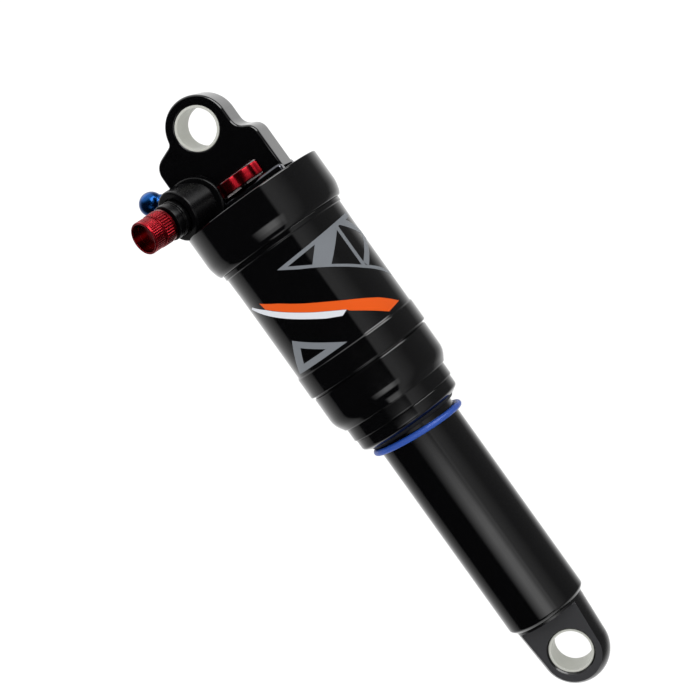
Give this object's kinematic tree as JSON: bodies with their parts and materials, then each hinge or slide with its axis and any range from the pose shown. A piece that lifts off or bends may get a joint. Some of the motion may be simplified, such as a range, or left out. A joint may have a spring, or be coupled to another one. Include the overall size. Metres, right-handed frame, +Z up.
{
  "type": "rear shock",
  "caption": "Air-sprung bicycle rear shock with a printed air can, sliding damper body, rebound dial, lockout lever, valve cap and a bushed eyelet at each end.",
  "frame": {"origin": "middle of the upper eyelet's bore", "axes": "+Z up the shock's axis from the lower eyelet to the upper, +Y along the eyelet bores towards the back, +X to the right seen from the front"},
  "size_m": [0.0602, 0.0527, 0.2225],
  "materials": {
    "black_anodised": "gloss black anodised",
    "black_sleeve": "gloss black anodised, printed",
    "stanchion_coat": "hard anodised, polished",
    "grey_anodised": "satin dark grey anodised",
    "bearing_liner": "polymer lined steel bush",
    "rubber": "matte",
    "steel": "ground",
    "raw_aluminium": "machined",
    "brass": "turned",
    "wear_band": "filled PTFE",
    "red_anodised": "red anodised",
    "blue_anodised": "blue anodised",
    "blue_rubber": "blue nitrile rubber"
  },
  "bodies": {
    "air_can": {"upper_head": "black_anodised", "upper_bush": "bearing_liner", "air_sleeve": "black_sleeve", "can_seal": "rubber", "head_oring": "rubber", "seal_housing": "black_anodised", "can_bush": "bearing_liner", "wiper_seal": "rubber", "bottom_out_bumper": "rubber", "valve_body": "black_anodised", "valve_core": "brass", "detent_ball": "steel", "detent_spring": "steel", "damper_shaft": "steel", "main_piston": "raw_aluminium", "piston_band": "wear_band", "rebound_shims": "steel", "compression_shims": "steel", "piston_nut": "steel"},
    "piston_rings": {"air_piston_seal": "rubber", "air_piston_band": "wear_band"},
    "damper": {"air_piston": "raw_aluminium", "shaft_bush": "bearing_liner", "shaft_seal": "rubber", "seal_head_oring": "rubber", "topout_bumper": "rubber", "stanchion": "stanchion_coat", "lower_eyelet": "grey_anodised", "charge_screw": "steel", "end_cap_oring": "rubber", "lower_bush": "bearing_liner"},
    "floating_piston": {"floating_piston": "raw_aluminium", "floating_piston_oring": "rubber"},
    "sag_ring": {"sag_ring": "blue_rubber"},
    "dial": {"rebound_dial": "red_anodised", "metering_rod": "raw_aluminium"},
    "valve_cap": {"valve_cap": "red_anodised"},
    "valve_pin": {"valve_pin": "brass"},
    "lever": {"lockout_lever": "blue_anodised", "lockout_spindle": "steel", "lever_screw": "steel"}
  },
  "joints": [
    {"name": "compress", "type": "slide", "parent": "air_can", "child": "piston_rings", "axis": [0, 0, 1], "range_m": [0, 0.057], "stiffness_N_per_m": 10000},
    {"name": "swivel", "type": "hinge", "parent": "piston_rings", "child": "damper", "pos_m": [0, 0, -0.2], "axis": [0, 0, 1], "continuous": true},
    {"name": "floating_piston_slide", "type": "slide", "parent": "damper", "child": "floating_piston", "axis": [0, 0, 1], "range_m": [-0.009, 0]},
    {"name": "sag_ring_slide", "type": "slide", "parent": "damper", "child": "sag_ring", "axis": [0, 0, 1], "range_m": [-0.058, 0]},
    {"name": "rebound_turn", "type": "hinge", "parent": "air_can", "child": "dial", "pos_m": [0, 0, -0.02065], "axis": [0, 0, 1], "range_deg": [-150, 150]},
    {"name": "lockout_turn", "type": "hinge", "parent": "air_can", "child": "lever", "pos_m": [-0.0152, 0.00635, -0.0187], "axis": [0, 1, 0], "range_deg": [0, 55]},
    {"name": "valve_cap_pull", "type": "slide", "parent": "air_can", "child": "valve_cap", "axis": [-0.5948, -0.8039, 0], "range_m": [0, 0.04]},
    {"name": "valve_pin_press", "type": "slide", "parent": "air_can", "child": "valve_pin", "axis": [0.5948, 0.8039, 0], "range_m": [0, 0.001], "stiffness_N_per_m": 300}
  ],
  "couplings": [
    {"joint": "floating_piston_slide", "follows": "compress", "ratio": -0.15312},
    {"joint": "sag_ring_slide", "follows": "compress", "ratio": -1}
  ]
}
